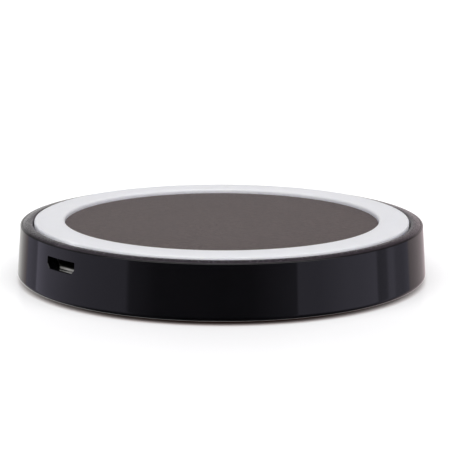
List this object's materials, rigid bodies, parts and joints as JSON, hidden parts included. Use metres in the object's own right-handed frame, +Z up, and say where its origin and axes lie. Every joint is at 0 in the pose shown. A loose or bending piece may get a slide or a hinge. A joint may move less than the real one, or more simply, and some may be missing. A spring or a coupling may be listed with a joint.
{
  "type": "wireless charging pad",
  "caption": "Round tabletop charging pad: a gloss black case, a matte dark plate with a raised white grip ring, and a small power socket in its side.",
  "frame": {"origin": "centre of the pad's base, on the surface that its feet stand on", "axes": "+Z up through the middle of the pad, -Y towards the power socket"},
  "size_m": [0.07, 0.07, 0.0102],
  "materials": {
    "case_gloss": "polished black, mirror smooth",
    "plate_matte": "fine matte texture, dark warm grey",
    "ring_white": "soft translucent white, satin",
    "foot_rubber": "matte black",
    "adhesive": "translucent film",
    "screw_steel": "zinc plated",
    "board_laminate": "green solder mask",
    "socket_steel": "tin plated, satin",
    "socket_black": "black moulding",
    "contact_plating": "gold plated",
    "coil_copper": "enamelled copper strands",
    "solder": "bright solder",
    "ferrite": "sintered, dull dark grey",
    "foam_tape": "white foam",
    "chip_epoxy": "black moulding compound",
    "capacitor_ceramic": "fired brown ceramic",
    "terminal_tin": "tinned",
    "crystal_can": "nickel plated",
    "led_resin": "pale yellow resin"
  },
  "bodies": {
    "root": {"lower_case": "case_gloss", "upper_case": "plate_matte", "grip_ring": "ring_white", "ring_adhesive": "adhesive", "case_screws": "screw_steel", "rubber_feet": "foot_rubber", "foot_adhesive": "adhesive", "circuit_board": "board_laminate", "board_screws": "screw_steel", "socket_shell": "socket_steel", "socket_insulator": "socket_black", "socket_contacts": "contact_plating", "power_coil": "coil_copper", "coil_solder": "solder", "ferrite_plate": "ferrite", "coil_adhesive": "adhesive", "core_tape": "foam_tape", "controller_chip": "chip_epoxy", "signal_amplifier": "chip_epoxy", "voltage_regulator": "chip_epoxy", "chip_leads": "terminal_tin", "bridge_transistors": "chip_epoxy", "resonant_capacitors": "capacitor_ceramic", "filter_capacitors": "capacitor_ceramic", "small_resistors": "chip_epoxy", "current_shunt": "chip_epoxy", "end_terminals": "terminal_tin", "clock_crystal": "crystal_can", "indicator_leds": "led_resin"}
  },
  "joints": []
}
